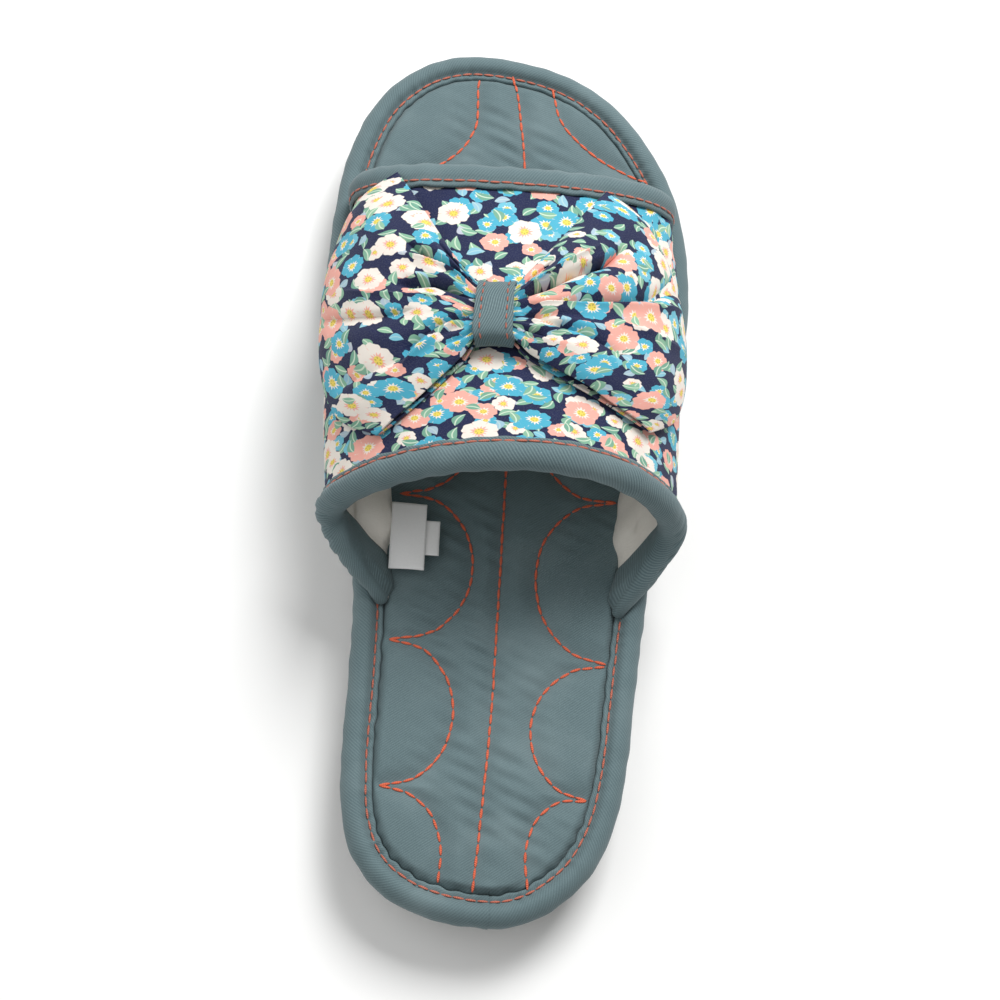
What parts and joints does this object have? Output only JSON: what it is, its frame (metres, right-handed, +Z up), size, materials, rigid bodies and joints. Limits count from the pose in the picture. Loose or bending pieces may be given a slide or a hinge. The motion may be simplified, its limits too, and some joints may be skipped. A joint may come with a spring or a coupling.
{
  "type": "open-toe fabric house slipper",
  "caption": "Right-foot open-toe fabric house slipper: padded floral vamp with a flat bow, quilted footbed with a padded binding, flat cloth-wrapped sole.",
  "frame": {"origin": "centre of the slipper's plan box, on the floor it stands on", "axes": "+Y towards the toe, +X towards the wearer's right, which is the outer side of this right slipper, +Z up"},
  "size_m": [0.107, 0.2566, 0.0747],
  "materials": {
    "outsole_sheet": "dark grey non-slip cloth",
    "wrap_cloth": "light grey woven cloth over foam",
    "felt": "cream felt interlining",
    "twill": "grey-teal cotton twill, orange stitching",
    "floral_cloth": "cotton with a small flower print on navy",
    "label_tape": "plain white woven tape"
  },
  "bodies": {
    "root": {"outsole": "outsole_sheet", "midsole": "wrap_cloth", "felt_edge": "felt", "insole": "twill", "sole_binding": "twill", "vamp": "floral_cloth", "throat_binding": "twill", "toe_binding": "twill", "bow_left": "floral_cloth", "bow_right": "floral_cloth", "bow_band": "twill", "label_large": "label_tape", "label_small": "label_tape"}
  },
  "joints": []
}
